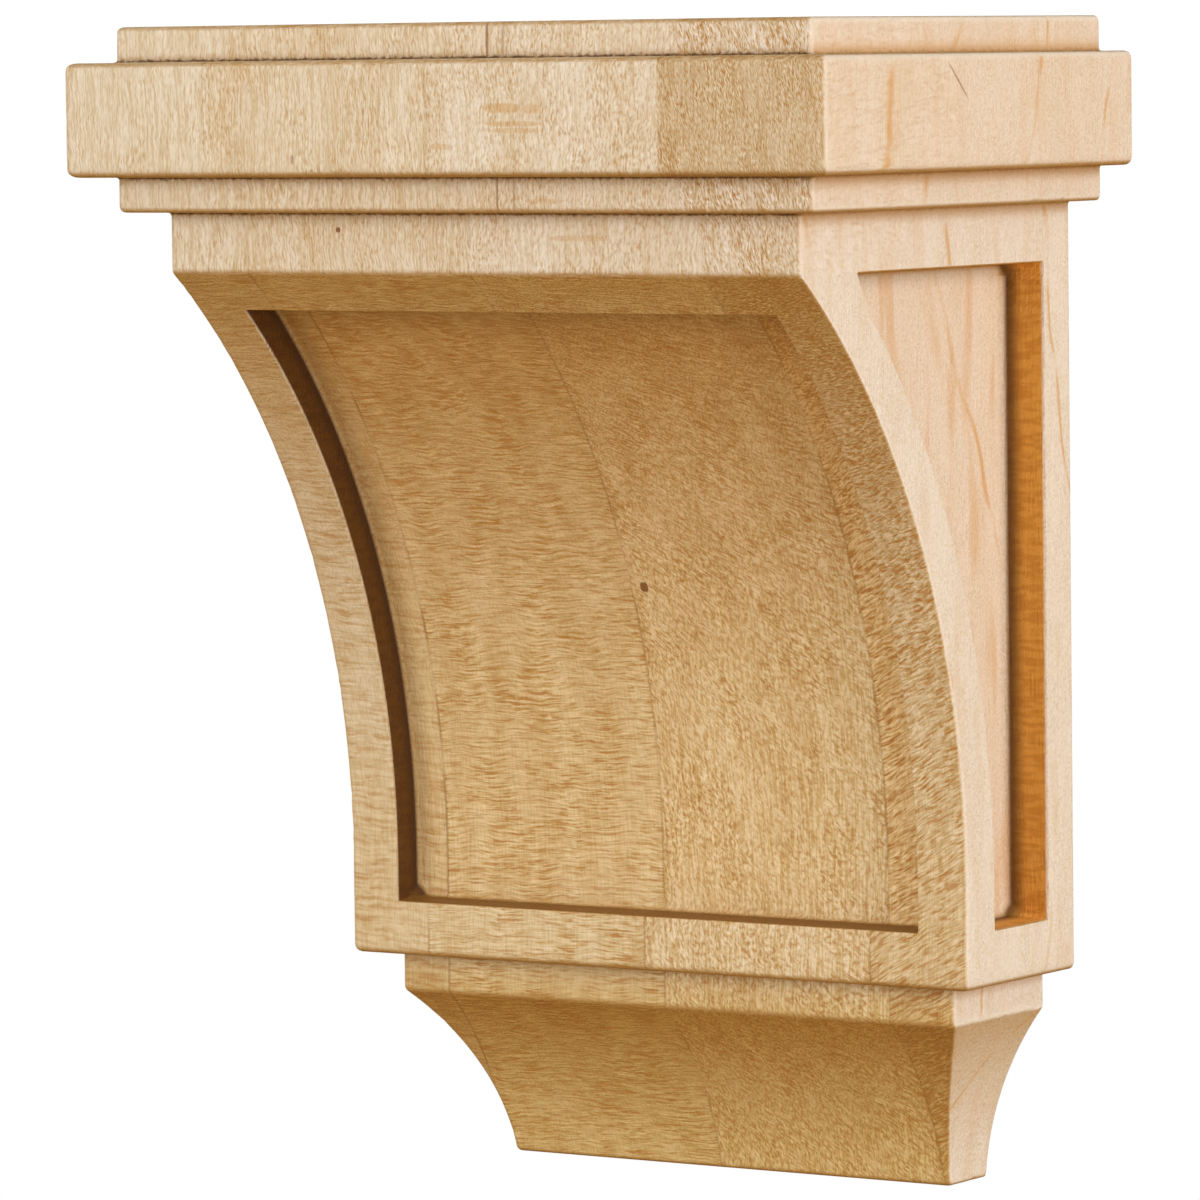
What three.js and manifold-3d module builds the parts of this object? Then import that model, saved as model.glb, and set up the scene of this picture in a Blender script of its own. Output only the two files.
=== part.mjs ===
// A wall corbel cut from one glued-up maple blank: a stepped cap, a body with a hollow front and
// sunk panels on its front and both sides, and a coved foot.
// Millimetres. The flat back lies on the wall plane Y = 0, the front faces -Y and +Z is up. The
// origin is the middle of the back. Levels are stated as drops below the top face, and reaches as
// distances from the wall.

import * as THREE from "three";
import { mergeVertices } from "three/addons/utils/BufferGeometryUtils.js";
import Module from "manifold-3d";

// Whole block
const HEIGHT = 203.2;
const CAP_WIDTH = 152.4;
const CAP_REACH = 101.6;

// Cap and frieze, from the top down
const STEP = 6.35; // set-back of the fillets from the slab, and of the body from the fillets
const FILLET_HEIGHT = 6.1;
const SLAB_HEIGHT = 19.6;
const FRIEZE_HEIGHT = 10.4;

// Body: its front is a hollow arc that runs down into an upright rail
const RAIL_REACH = 37.2;
const HOLLOW_DROP = 148; // where the arc meets the upright rail
const BODY_DROP = 165.4; // underside of the bottom rail

// Frames and sunk panels
const FRAME = 9.6; // width of the stiles and bottom rails around the panels
const FRONT_TOP_RAIL = 10.4; // width of the front panel's top rail, along the hollow
const BACK_STILE = 9.0; // the side frames' stile along the wall
const FRONT_SINK = 6.35;
const SIDE_SINK = 8.2;
const SIDE_CORNER_REACH = 70.9; // top front corner of the side panel
const SIDE_CORNER_HEIGHT = 6.3; // the panel's edge runs straight for this height below that corner

// Foot
const FOOT_FILLET_HEIGHT = 7.0;
const FOOT_WIDTH = 90.8; // at the bottom
const FOOT_REACH = 12.7;
const FOOT_COVE_RADIUS = 57;

// Making
const ARC_STEPS = 28; // facets along each arc
const OVERLAP = 4; // how far joined pieces run into each other
const CLEAR = 40; // how far a cutter stands out of the face that it cuts

// Sizes that follow from those above
const FILLET_WIDTH = CAP_WIDTH - 2 * STEP;
const FILLET_REACH = CAP_REACH - STEP;
const CAP_DROP = 2 * FILLET_HEIGHT + SLAB_HEIGHT;
const BODY_WIDTH = FILLET_WIDTH - 2 * STEP;
const BODY_REACH = FILLET_REACH - STEP;
const FRIEZE_DROP = CAP_DROP + FRIEZE_HEIGHT;
const PANEL_DROP = BODY_DROP - FRAME;
const FOOT_FILLET_WIDTH = BODY_WIDTH - 2 * STEP;
const FOOT_FILLET_REACH = RAIL_REACH - STEP;
const FOOT_FILLET_DROP = BODY_DROP + FOOT_FILLET_HEIGHT;

const wasm = await Module();
wasm.setup();

// Height in the model's frame of a level given as a drop below the top.
function level(drop) {
  return HEIGHT / 2 - drop;
}

// The hollow: the arc that is upright where it meets the rail and passes through the frieze's lower edge.
const hollow = (() => {
  const run = BODY_REACH - RAIL_REACH;
  const rise = HOLLOW_DROP - FRIEZE_DROP;
  const radius = (run * run + rise * rise) / (2 * run);
  const top = Math.PI - Math.asin(rise / radius);
  return { radius, top, reach: RAIL_REACH + radius, z: level(HOLLOW_DROP) };
})();

// A closed solid from a three.js geometry, its shared vertices merged.
function solid(geometry) {
  const bare = geometry.clone();
  bare.deleteAttribute("normal");
  bare.deleteAttribute("uv");
  const merged = mergeVertices(bare);
  return new wasm.Manifold(
    new wasm.Mesh({
      numProp: 3,
      vertProperties: new Float32Array(merged.attributes.position.array),
      triVerts: new Uint32Array(merged.index.array),
    }),
  );
}

// A three.js geometry from a solid, with flat facets.
function geometryOf(body) {
  const mesh = body.getMesh();
  const geometry = new THREE.BufferGeometry();
  geometry.setAttribute("position", new THREE.BufferAttribute(mesh.vertProperties, 3));
  geometry.setIndex(new THREE.BufferAttribute(mesh.triVerts, 1));
  const faceted = geometry.toNonIndexed();
  faceted.computeVertexNormals();
  return faceted;
}

// A block against the wall, centred across the width, between two drops.
function block(width, reach, topDrop, bottomDrop) {
  const box = new THREE.BoxGeometry(width, reach, bottomDrop - topDrop);
  box.translate(0, -reach / 2, level((topDrop + bottomDrop) / 2));
  return solid(box);
}

// An outline carried square to itself for a length.
function sweepOf(outline, length) {
  return new THREE.ExtrudeGeometry(outline, { depth: length, bevelEnabled: false, curveSegments: ARC_STEPS });
}

// A side outline, drawn as (reach, height), carried along X for a width about a middle.
function alongWidth(outline, width, middle) {
  const sweep = sweepOf(outline, width);
  sweep.translate(0, 0, -width / 2);
  const forward = new THREE.Vector3(0, -1, 0);
  const up = new THREE.Vector3(0, 0, 1);
  const left = new THREE.Vector3(-1, 0, 0);
  sweep.applyMatrix4(new THREE.Matrix4().makeBasis(forward, up, left));
  sweep.translate(middle, 0, 0);
  return solid(sweep);
}

// A front outline, drawn as (x, height), carried from the wall to a reach.
function fromWall(outline, reach) {
  const sweep = sweepOf(outline, reach);
  const right = new THREE.Vector3(1, 0, 0);
  const up = new THREE.Vector3(0, 0, 1);
  const forward = new THREE.Vector3(0, -1, 0);
  sweep.applyMatrix4(new THREE.Matrix4().makeBasis(right, up, forward));
  return solid(sweep);
}

// Adds to an outline the arc about the hollow's centre, sunk behind its face, from the rail up to an angle.
function hollowArc(outline, sink, topAngle) {
  outline.absarc(hollow.reach, hollow.z, hollow.radius + sink, Math.PI, topAngle, true);
}

// The stepped cap: the slab around a block that shows above and below it as fillets.
function makeCap() {
  const fillets = block(FILLET_WIDTH, FILLET_REACH, 0, CAP_DROP);
  const slab = block(CAP_WIDTH, CAP_REACH, FILLET_HEIGHT, FILLET_HEIGHT + SLAB_HEIGHT);
  return fillets.add(slab);
}

// The body: frieze, hollow front and upright bottom rail, in one side outline.
function makeBody() {
  const outline = new THREE.Shape();
  outline.moveTo(0, level(BODY_DROP));
  outline.lineTo(RAIL_REACH, level(BODY_DROP));
  outline.lineTo(RAIL_REACH, level(HOLLOW_DROP));
  hollowArc(outline, 0, hollow.top);
  outline.lineTo(BODY_REACH, level(CAP_DROP - OVERLAP));
  outline.lineTo(0, level(CAP_DROP - OVERLAP));
  return alongWidth(outline, BODY_WIDTH, 0);
}

// The front panel's cutter: its floor follows the hollow, its top wall stands square to the hollow
// and its bottom wall is level.
function frontCutter() {
  const topAngle = hollow.top + FRONT_TOP_RAIL / hollow.radius;
  const outRadius = hollow.radius - CLEAR;
  const outline = new THREE.Shape();
  outline.moveTo(RAIL_REACH + CLEAR, level(PANEL_DROP));
  outline.lineTo(RAIL_REACH - FRONT_SINK, level(PANEL_DROP));
  outline.lineTo(RAIL_REACH - FRONT_SINK, level(HOLLOW_DROP));
  hollowArc(outline, FRONT_SINK, topAngle);
  outline.lineTo(hollow.reach + outRadius * Math.cos(topAngle), hollow.z + outRadius * Math.sin(topAngle));
  return alongWidth(outline, BODY_WIDTH - 2 * FRAME, 0);
}

// One side panel's cutter; side is 1 for the right-hand face and -1 for the left-hand one.
function sideCutter(side) {
  const edgeRadius = hollow.radius + FRAME;
  const cornerRise = HOLLOW_DROP - FRIEZE_DROP - SIDE_CORNER_HEIGHT;
  const cornerAngle = Math.PI - Math.asin(cornerRise / edgeRadius);
  const outline = new THREE.Shape();
  outline.moveTo(BACK_STILE, level(PANEL_DROP));
  outline.lineTo(RAIL_REACH - FRAME, level(PANEL_DROP));
  outline.lineTo(RAIL_REACH - FRAME, level(HOLLOW_DROP));
  hollowArc(outline, FRAME, cornerAngle);
  outline.lineTo(SIDE_CORNER_REACH, level(FRIEZE_DROP));
  outline.lineTo(BACK_STILE, level(FRIEZE_DROP));
  const middle = side * (BODY_WIDTH / 2 - SIDE_SINK + (SIDE_SINK + CLEAR) / 2);
  return alongWidth(outline, SIDE_SINK + CLEAR, middle);
}

// Adds the foot's cove to an outline: a clockwise arc between two points whose centre lies below their
// middle, towards +x for side 1 and towards -x for side -1.
function coveArc(outline, from, to, side) {
  const chord = from.distanceTo(to);
  const lift = Math.sqrt(FOOT_COVE_RADIUS ** 2 - (chord / 2) ** 2);
  const centreX = (from.x + to.x) / 2 + (side * lift * Math.abs(to.y - from.y)) / chord;
  const centreY = (from.y + to.y) / 2 - (lift * Math.abs(to.x - from.x)) / chord;
  const start = Math.atan2(from.y - centreY, from.x - centreX);
  const end = Math.atan2(to.y - centreY, to.x - centreX);
  outline.absarc(centreX, centreY, FOOT_COVE_RADIUS, start, end, true);
}

// The foot: a fillet and a cove, as the shared part of a side outline and a front outline, so that the
// coves meet in mitred corners.
function makeFoot() {
  const topZ = level(BODY_DROP - OVERLAP);
  const filletZ = level(FOOT_FILLET_DROP);
  const bottomZ = level(HEIGHT);
  const filletHalf = FOOT_FILLET_WIDTH / 2;
  const bottomHalf = FOOT_WIDTH / 2;

  const side = new THREE.Shape();
  side.moveTo(0, bottomZ);
  side.lineTo(FOOT_REACH, bottomZ);
  coveArc(side, new THREE.Vector2(FOOT_REACH, bottomZ), new THREE.Vector2(FOOT_FILLET_REACH, filletZ), 1);
  side.lineTo(FOOT_FILLET_REACH, topZ);
  side.lineTo(0, topZ);

  const front = new THREE.Shape();
  front.moveTo(bottomHalf, bottomZ);
  coveArc(front, new THREE.Vector2(bottomHalf, bottomZ), new THREE.Vector2(filletHalf, filletZ), 1);
  front.lineTo(filletHalf, topZ);
  front.lineTo(-filletHalf, topZ);
  front.lineTo(-filletHalf, filletZ);
  coveArc(front, new THREE.Vector2(-filletHalf, filletZ), new THREE.Vector2(-bottomHalf, bottomZ), -1);

  return alongWidth(side, CAP_WIDTH, 0).intersect(fromWall(front, CAP_REACH));
}

const maple = new THREE.MeshStandardMaterial({ color: 0xd6b284, roughness: 0.55, metalness: 0 });

const carved = makeBody()
  .add(makeCap())
  .add(makeFoot())
  .subtract(frontCutter())
  .subtract(sideCutter(1))
  .subtract(sideCutter(-1));

const corbel = new THREE.Mesh(geometryOf(carved), maple);
corbel.name = "corbel";

const part = new THREE.Group();
part.add(corbel);

export default part;
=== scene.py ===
"""Looks of a maple wall corbel: its finely worked surface, its wood, and a plain studio around it.

The corbel is one surface worked out on a grid. Its rows follow the moulded outline from the top down
and its columns run round the two sides and the front, so every step, hollow, cove and sunk panel is
part of one skin that keeps the solid's form. Lengths are millimetres until the mesh is written.
"""

import logging
import math
from dataclasses import dataclass, field
from enum import Enum
from functools import partial, reduce
from typing import ClassVar

import bpy
import numpy as np
from mathutils import Matrix, Vector


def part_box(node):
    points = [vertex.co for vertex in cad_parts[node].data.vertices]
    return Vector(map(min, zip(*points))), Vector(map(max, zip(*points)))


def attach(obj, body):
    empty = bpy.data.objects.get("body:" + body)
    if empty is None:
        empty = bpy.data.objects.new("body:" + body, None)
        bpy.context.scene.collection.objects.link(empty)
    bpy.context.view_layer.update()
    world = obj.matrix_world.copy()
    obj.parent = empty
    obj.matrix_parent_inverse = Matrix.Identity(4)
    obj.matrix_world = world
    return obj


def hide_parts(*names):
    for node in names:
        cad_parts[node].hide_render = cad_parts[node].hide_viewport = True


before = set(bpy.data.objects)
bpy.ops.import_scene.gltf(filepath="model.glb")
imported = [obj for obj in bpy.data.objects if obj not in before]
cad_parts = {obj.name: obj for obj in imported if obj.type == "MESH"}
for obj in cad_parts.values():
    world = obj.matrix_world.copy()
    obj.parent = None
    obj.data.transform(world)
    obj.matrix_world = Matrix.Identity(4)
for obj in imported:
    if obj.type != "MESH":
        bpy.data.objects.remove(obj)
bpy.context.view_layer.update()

LOG = logging.getLogger("corbel")
MM = 0.001
FAR = 9.0  # millimetres, past the reach of every edge's colour and wear
TINY = 1e-9  # a length that counts as none
Socket = bpy.types.NodeSocket
Colour = tuple[float, float, float, float]
Size = tuple[float, float, float]


def linear(red: int, green: int, blue: int) -> Colour:
    """Turns an 8-bit display colour into the linear colour that shaders take.

    Args:
        red, green, blue: the colour as it shows on a screen, 0 to 255.

    Returns:
        The linear colour with full alpha.
    """
    shown = np.array([red, green, blue]) / 255.0
    light = np.where(shown <= 0.04045, shown / 12.92, ((shown + 0.055) / 1.055) ** 2.4)
    return (*light.tolist(), 1.0)


def value_noise(points: np.ndarray, cell: float, seed: int) -> np.ndarray:
    """Smooth noise from -1 to 1: random numbers on a lattice, eased between the eight nearest.

    Args:
        points: places in millimetres, with three numbers in the last axis.
        cell: the lattice's spacing in millimetres.
        seed: which lattice of random numbers to draw.

    Returns:
        One number for each place.
    """
    count = 48  # lattice points along each axis before the noise repeats
    lattice = np.random.default_rng(seed).uniform(-1.0, 1.0, (count, count, count))
    scaled = points / cell
    base = np.floor(scaled).astype(int)
    part = scaled - base
    part = part * part * (3.0 - 2.0 * part)
    total = np.zeros(points.shape[:-1])
    for corner in np.ndindex(2, 2, 2):
        weight = np.prod(np.where(np.array(corner) == 1, part, 1.0 - part), axis=-1)
        spot = (base + np.array(corner)) % count
        total += weight * lattice[spot[..., 0], spot[..., 1], spot[..., 2]]
    return total


class Corner(Enum):
    """How two stretches of the moulded outline meet."""

    ARRIS = "an outer edge"
    BROW = "an outer edge of the front alone"
    NOOK = "an inner corner"


@dataclass
class Turn:
    """One corner of the moulded outline.

    Attributes:
        half: half the width there.
        reach: distance from the wall there.
        drop: distance below the top face.
        ease: how far the corner is rounded back along both stretches.
        kind: outer edge or inner corner.
    """

    half: float
    reach: float
    drop: float
    ease: float
    kind: Corner


@dataclass
class Rows:
    """The outline's rows from the top face down to the underside.

    Attributes:
        half: half width of each row.
        reach: distance of the front from the wall.
        drop: distance below the top.
        inward_reach, inward_drop: the direction into the wood, square to the front.
        nook, arris, brow: distance along the outline to the nearest corner of each kind.
    """

    half: np.ndarray
    reach: np.ndarray
    drop: np.ndarray
    inward_reach: np.ndarray
    inward_drop: np.ndarray
    nook: np.ndarray
    arris: np.ndarray
    brow: np.ndarray


@dataclass(frozen=True)
class Wear:
    """Small hollows along an edge: wood is gone where noise is above a level, less so away from the edge.

    Attributes:
        depth: how deep the hollows go for each unit of noise, in millimetres.
        cell: their spacing across, in millimetres.
        flat: how many times closer they lie in height.
        level: the noise at which wood starts to be gone.
        seed: which lattice of random numbers they come from.
        fade: the distance from the edge in which they die out, in millimetres.
    """

    depth: float
    cell: float
    flat: float
    level: float
    seed: int
    fade: float = 0.5

    def gone(self, points: np.ndarray, gap: np.ndarray) -> np.ndarray:
        """Works out how much wood is gone at each place.

        Args:
            points: places in millimetres.
            gap: each place's distance from the edge, in millimetres.

        Returns:
            The depth of wood gone, in millimetres.
        """
        noise = value_noise(points * np.array([1.0, 1.0, self.flat]), self.cell, self.seed)
        return self.depth * np.clip(noise - self.level, 0.0, None) * np.exp(-gap / self.fade)


@dataclass
class Corbel:
    """The whole corbel: one blank of glued boards, cut to a cap, a hollow body and a coved foot.

    Lengths are millimetres. Drops are measured down from the top face, and reaches from the wall.

    Attributes:
        height, cap_width, cap_reach: the whole block, read from the solid.
        step: set-back of the fillets from the slab, of the body from the fillets and of the foot.
        fillet_height, slab_height, frieze_height: heights of the cap's parts and of the frieze.
        rail_reach, hollow_drop, body_drop: the bottom rail, where the hollow meets it, and its underside.
        frame_width, front_top_rail, back_stile: widths of the frames around the panels.
        front_sink, side_sink: depths of the panels.
        side_corner_reach, side_corner_height: the side panel's top front corner and the straight below it.
        foot_fillet_height, foot_width, foot_reach, foot_cove_radius: the foot.
        upright_ease, back_ease: how far the upright corners and the back's edges are rounded.
        wall_lip, wall_draft, wall_cove: a panel's eased edge, the run of its wall, the cove at its floor.
        floor_corner, floor_left: radius of the wood left in a floor's corners, and its share of the depth.
        top_margin, foot_margin: how far the rows run in over the top face and the underside.
        row_spacing, row_inset, row_gap: space between rows, from a corner to the next row, and the least.
        hollow_points, cove_points: points along the hollow and along the cove.
        ease_steps, stile_steps, side_floor_steps, front_floor_steps: grid steps across each zone.
        near_edge: where rows and columns crowd along a panel's edge, from outside it to inside.
        back_places: the columns beside the wall.
        underside_shade: how far the flat underside counts as looking down, which sets how much painted
            shade it gets.
        ledge_tilt: the tilt at which a face starts to be a level ledge, and the tilt where it is one.
        level_row: the tilt past which a row lies on a level stretch, which has no upright corner.
        open_face: the share of a panel's depth under which a point lies on an open face.
        foot_skin: the height over the underside that still counts as it.
        bare_wall: how far from the wall the wear reaches its full depth.
        chips, tears: the wear of outer edges and of inner corners.
    """

    height: float
    cap_width: float
    cap_reach: float
    step: float = 6.35
    fillet_height: float = 6.1
    slab_height: float = 19.6
    frieze_height: float = 10.4
    rail_reach: float = 37.2
    hollow_drop: float = 148.0
    body_drop: float = 165.4
    frame_width: float = 9.6
    front_top_rail: float = 10.4
    back_stile: float = 9.0
    front_sink: float = 6.35
    side_sink: float = 8.2
    side_corner_reach: float = 70.9
    side_corner_height: float = 6.3
    foot_fillet_height: float = 7.0
    foot_width: float = 90.8
    foot_reach: float = 12.7
    foot_cove_radius: float = 57.0
    upright_ease: float = 0.55
    back_ease: float = 0.4
    wall_lip: float = 0.12
    wall_draft: float = 0.35
    wall_cove: float = 1.0
    floor_corner: float = 3.0
    floor_left: float = 0.75
    top_margin: float = 14.0
    foot_margin: float = 6.0
    row_spacing: float = 1.6
    row_inset: float = 0.25
    row_gap: float = 0.02
    hollow_points: int = 160
    cove_points: int = 60
    ease_steps: int = 5
    stile_steps: int = 7
    side_floor_steps: int = 21
    front_floor_steps: int = 27
    near_edge: np.ndarray = field(
        default_factory=lambda: np.array(
            [-0.7, -0.3, -0.12, -0.04, 0.03, 0.1, 0.18, 0.27, 0.35]
            + [0.42, 0.58, 0.85, 1.2, 1.65, 2.3, 3.2, 4.4]
        )
    )
    back_places: np.ndarray = field(
        default_factory=lambda: np.array([0.0, 0.12, 0.4, 1.0, 2.6, 4.4, 6.2, 7.6])
    )
    underside_shade: float = 0.4
    ledge_tilt: tuple[float, float] = (0.88, 0.98)
    level_row: float = 0.9
    open_face: float = 0.01
    foot_skin: float = 0.05
    bare_wall: float = 2.0
    chips: Wear = Wear(0.5, 2.2, 2.0, 0.35, 7)
    tears: Wear = Wear(0.3, 1.1, 1.4, 0.1, 9)

    def __post_init__(self) -> None:
        """Works out the sizes that follow from the driving ones."""
        self.fillet_half = self.cap_width / 2 - self.step
        self.body_half = self.fillet_half - self.step
        self.body_reach = self.cap_reach - 2 * self.step
        self.cap_drop = 2 * self.fillet_height + self.slab_height
        self.frieze_drop = self.cap_drop + self.frieze_height
        self.panel_drop = self.body_drop - self.frame_width
        run = self.body_reach - self.rail_reach
        rise = self.hollow_drop - self.frieze_drop
        self.hollow_radius = (run * run + rise * rise) / (2 * run)
        self.hollow_turn = math.asin(rise / self.hollow_radius)

    def turns(self) -> list[Turn]:
        """Lists the outline's corners from the top face to the underside.

        Returns:
            The corners in order.
        """
        fillet_reach = self.cap_reach - self.step
        slab_end = self.fillet_height + self.slab_height
        foot_half = self.body_half - self.step
        foot_fillet_reach = self.rail_reach - self.step
        foot_fillet_drop = self.body_drop + self.foot_fillet_height
        arris, brow, nook = Corner
        return [
            Turn(self.fillet_half, fillet_reach, 0.0, 1.2, arris),
            Turn(self.fillet_half, fillet_reach, self.fillet_height, 0.6, nook),
            Turn(self.cap_width / 2, self.cap_reach, self.fillet_height, 1.4, arris),
            Turn(self.cap_width / 2, self.cap_reach, slab_end, 1.7, arris),
            Turn(self.fillet_half, fillet_reach, slab_end, 0.6, nook),
            Turn(self.fillet_half, fillet_reach, self.cap_drop, 1.0, arris),
            Turn(self.body_half, self.body_reach, self.cap_drop, 0.9, nook),
            Turn(self.body_half, self.body_reach, self.frieze_drop, 0.6, brow),
            Turn(self.body_half, self.rail_reach, self.body_drop, 1.4, arris),
            Turn(foot_half, foot_fillet_reach, self.body_drop, 0.6, nook),
            Turn(foot_half, foot_fillet_reach, foot_fillet_drop, 0.7, arris),
            Turn(self.foot_width / 2, self.foot_reach, self.height, 0.9, arris),
        ]

    def hollow_path(self) -> np.ndarray:
        """The body's front from the frieze's edge down: an arc upright at its foot, then the plain rail.

        Returns:
            Rows of half width, reach and drop.
        """
        turn = np.linspace(self.hollow_turn, 0.0, self.hollow_points)
        reach = self.rail_reach + self.hollow_radius * (1.0 - np.cos(turn))
        drop = self.hollow_drop - self.hollow_radius * np.sin(turn)
        reach = np.append(reach, self.rail_reach)
        drop = np.append(drop, self.body_drop)
        return np.stack([np.full_like(reach, self.body_half), reach, drop], axis=1)

    def cove_path(self, top: Turn, bottom: Turn) -> np.ndarray:
        """The foot's cove: between two corners, the inset of front and sides each follow a circle's arc.

        Args:
            top, bottom: the corners that the cove joins.

        Returns:
            Rows of half width, reach and drop.
        """
        drop = np.linspace(top.drop, bottom.drop, self.cove_points)

        def arc(upper: float, lower: float) -> np.ndarray:
            """Follows the circle through both ends whose centre is outside and below.

            Args:
                upper, lower: the inset at the top and at the bottom.

            Returns:
                The inset at each drop.
            """
            chord = math.hypot(upper - lower, bottom.drop - top.drop)
            lift = math.sqrt(self.foot_cove_radius**2 - chord**2 / 4)
            centre = (upper + lower) / 2 + lift * (bottom.drop - top.drop) / chord
            centre_drop = (top.drop + bottom.drop) / 2 + lift * (upper - lower) / chord
            return centre - np.sqrt(self.foot_cove_radius**2 - (drop - centre_drop) ** 2)

        return np.stack([arc(top.half, bottom.half), arc(top.reach, bottom.reach), drop], axis=1)

    def stretches(self, turns: list[Turn]) -> list[np.ndarray]:
        """The stretches of outline between corners, with one on the top face and one on the underside.

        Args:
            turns: the outline's corners.

        Returns:
            One dense polyline for each stretch, as rows of half width, reach and drop.
        """
        corners = np.array([[t.half, t.reach, t.drop] for t in turns])
        first = corners[0] - np.array([self.top_margin, self.top_margin, 0.0])
        last = corners[-1] - np.array([self.foot_margin, self.foot_margin, 0.0])
        ends = np.vstack([first, corners, last])
        paths = [ends[i : i + 2] for i in range(len(ends) - 1)]
        brow = [turn.kind for turn in turns].index(Corner.BROW)
        paths[brow + 1] = self.hollow_path()
        paths[-2] = self.cove_path(turns[-2], turns[-1])
        return paths

    def rows(self) -> Rows:
        """Lays the rows: evenly along each stretch, closer at panel edges, and eased round each corner.

        Each corner is a quadratic curve pulled towards the corner's own point.

        Returns:
            The rows from the top face to the underside.
        """
        turns = self.turns()
        laid, along, marks, travelled = [], [], [], 0.0
        for index, path in enumerate(self.stretches(turns)):
            turn = turns[index - 1]  # where the stretch starts; the first one starts at no corner
            steps = np.hypot(np.diff(path[:, 1]), np.diff(path[:, 2]))
            length_at = np.concatenate([[0.0], np.cumsum(steps)])
            length = length_at[-1]
            start = turn.ease if index > 0 else 0.0
            stop = length - (turns[index].ease if index < len(turns) else 0.0)
            count = max(3, int(round((stop - start) / self.row_spacing)))
            places = [np.linspace(start, stop, count + 1), [start + self.row_inset, stop - self.row_inset]]
            if turn.kind is Corner.BROW:
                ledge = length - self.frame_width
                places.append(self.front_top_rail + self.near_edge)
                places.append(np.clip(self.near_edge, 0.0, None) / math.cos(self.hollow_turn))
                places.append(ledge - self.near_edge)
            at = np.unique(np.round(np.concatenate(places), 3))
            at = at[(at >= start) & (at <= stop)]
            at = at[np.concatenate([[True], np.diff(at) > self.row_gap])]
            points = np.stack([np.interp(at, length_at, path[:, k]) for k in range(3)], axis=1)
            if index > 0:
                knot = np.array([turn.half, turn.reach, turn.drop])
                t = np.linspace(0.0, 1.0, self.ease_steps + 1)[1:-1, None]
                before = laid[-1][-1]
                laid.append((1 - t) ** 2 * before + 2 * t * (1 - t) * knot + t**2 * points[0])
                along.append(travelled + turn.ease * (2 * t[:, 0] - 1))
                marks.append((travelled, turn.kind))
            laid.append(points)
            along.append(travelled + at)
            travelled += length
        table = np.vstack(laid)
        place = np.concatenate(along)
        gaps = {kind: self.nearest(place, marks, kind) for kind in Corner}
        slope_reach = np.gradient(table[:, 1])
        slope_drop = np.gradient(table[:, 2])
        size = np.maximum(np.hypot(slope_reach, slope_drop), TINY)
        return Rows(
            table[:, 0],
            table[:, 1],
            table[:, 2],
            -slope_drop / size,
            slope_reach / size,
            gaps[Corner.NOOK],
            gaps[Corner.ARRIS],
            gaps[Corner.BROW],
        )

    @staticmethod
    def nearest(place: np.ndarray, marks: list[tuple[float, Corner]], kind: Corner) -> np.ndarray:
        """Distance along the outline from each row to the nearest corner of a kind.

        Args:
            place: each row's distance along the outline.
            marks: each corner's distance along the outline, and its kind.
            kind: which corners to measure to.

        Returns:
            One distance for each row.
        """
        spots = np.array([spot for spot, found in marks if found is kind])
        return np.abs(place[:, None] - spots[None, :]).min(axis=1)

    def wall(self, inside: np.ndarray, sink: float) -> np.ndarray:
        """How deep a panel is at a distance inside its edge.

        Outside the edge is a small eased lip, then comes a nearly upright wall, then a quarter-round cove.

        Args:
            inside: distance inside the panel's edge, negative on the frame.
            sink: the panel's full depth.

        Returns:
            The depth at each distance.
        """
        lip = self.wall_lip * np.clip((inside + self.wall_lip) / self.wall_lip, 0.0, 1.0) ** 2
        rise = sink - self.wall_cove - self.wall_lip
        upright = self.wall_lip + rise * np.clip(inside / self.wall_draft, 0.0, 1.0)
        across = np.clip((inside - self.wall_draft) / self.wall_cove, 0.0, 1.0)
        cove = self.wall_cove * np.sqrt(1.0 - (1.0 - across) ** 2)
        return np.where(inside < 0.0, lip, upright + cove)

    def pocket(self, column: np.ndarray, row: np.ndarray, sink: float) -> np.ndarray:
        """Depth of a sunk panel: the shallower of its two walls, less the wood left in its floor's corners.

        The wood left falls off from a corner as the power 1.5 of the distance still to go.

        Args:
            column: distance inside the panel's upright edges.
            row: distance inside its level edges.
            sink: the panel's full depth.

        Returns:
            The depth at each place.
        """
        depth = np.minimum(self.wall(column, sink), self.wall(row, sink))
        away = np.hypot(np.clip(column, 0.0, None), np.clip(row, 0.0, None))
        left = np.clip(1.0 - away / self.floor_corner, 0.0, 1.0) ** 1.5
        return depth * (1.0 - self.floor_left * left)

    def side_edge(self, rows: Rows) -> tuple[np.ndarray, np.ndarray, np.ndarray]:
        """The side panel's front edge: an arc about the hollow's centre with a short straight at its top.

        Args:
            rows: the outline's rows.

        Returns:
            The edge's reach, the cosine of its lean and the scale of the layout, for each row.
        """
        radius = self.hollow_radius + self.frame_width
        corner_drop = self.frieze_drop + self.side_corner_height
        rise = np.clip(self.hollow_drop - rows.drop, 0.0, self.hollow_drop - corner_drop)
        flat = np.sqrt(radius**2 - rise**2)
        edge = self.rail_reach + self.hollow_radius - flat
        lean = rise / flat
        top_rise = self.hollow_drop - corner_drop
        meet = self.rail_reach + self.hollow_radius - math.sqrt(radius**2 - top_rise**2)
        straight = (self.side_corner_reach - meet) / self.side_corner_height
        above = np.clip(corner_drop - rows.drop, 0.0, self.side_corner_height)
        edge = np.where(above > 0.0, meet + straight * above, edge)
        lean = np.where(above > 0.0, straight, lean)
        upper = rows.drop < self.frieze_drop
        lower = rows.drop > self.body_drop - TINY
        scale = np.select([upper, lower], [rows.reach / self.body_reach, rows.reach / self.rail_reach], 1.0)
        return edge * scale, 1.0 / np.sqrt(1.0 + lean**2), scale

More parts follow.
